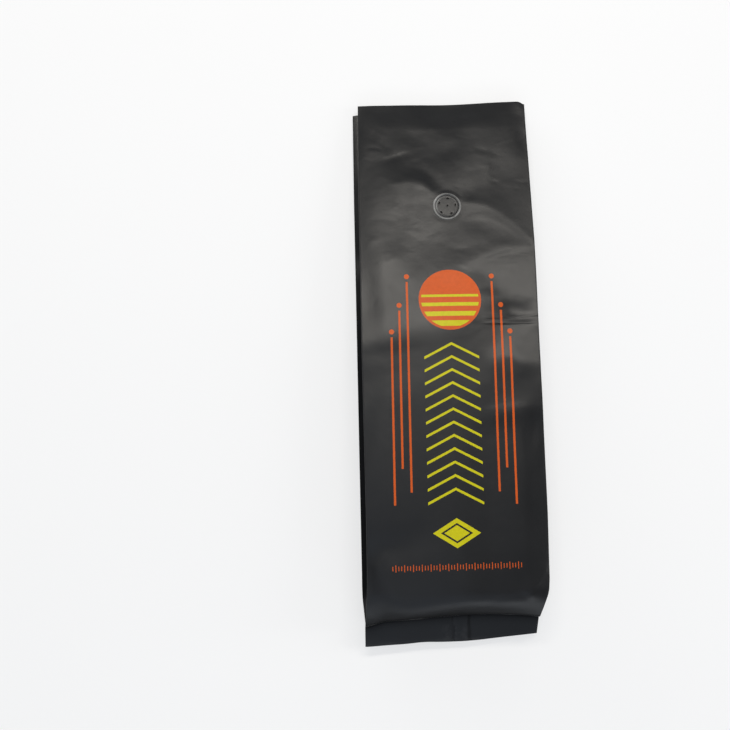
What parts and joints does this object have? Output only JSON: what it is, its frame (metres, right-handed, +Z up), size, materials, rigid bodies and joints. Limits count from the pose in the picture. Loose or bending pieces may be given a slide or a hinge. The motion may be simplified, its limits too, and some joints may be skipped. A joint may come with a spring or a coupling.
{
  "type": "coffee pouch",
  "caption": "Side-gusset pouch of matt black film for coffee, lying on its back, with a one-way valve on the front panel and a welded bottom fin.",
  "frame": {"origin": "centre of the footprint's box, on the surface that the back panel lies on", "axes": "+Y from the bottom fin to the mouth, +Z up out of the front panel, +X to the right of the front panel"},
  "size_m": [0.1344, 0.4096, 0.0461],
  "materials": {
    "film": "matt black laminate film with an orange and yellow print",
    "valve": "satin grey ring round a dark vented plate"
  },
  "bodies": {
    "root": {"pouch": "film", "valve": "valve"}
  },
  "joints": []
}
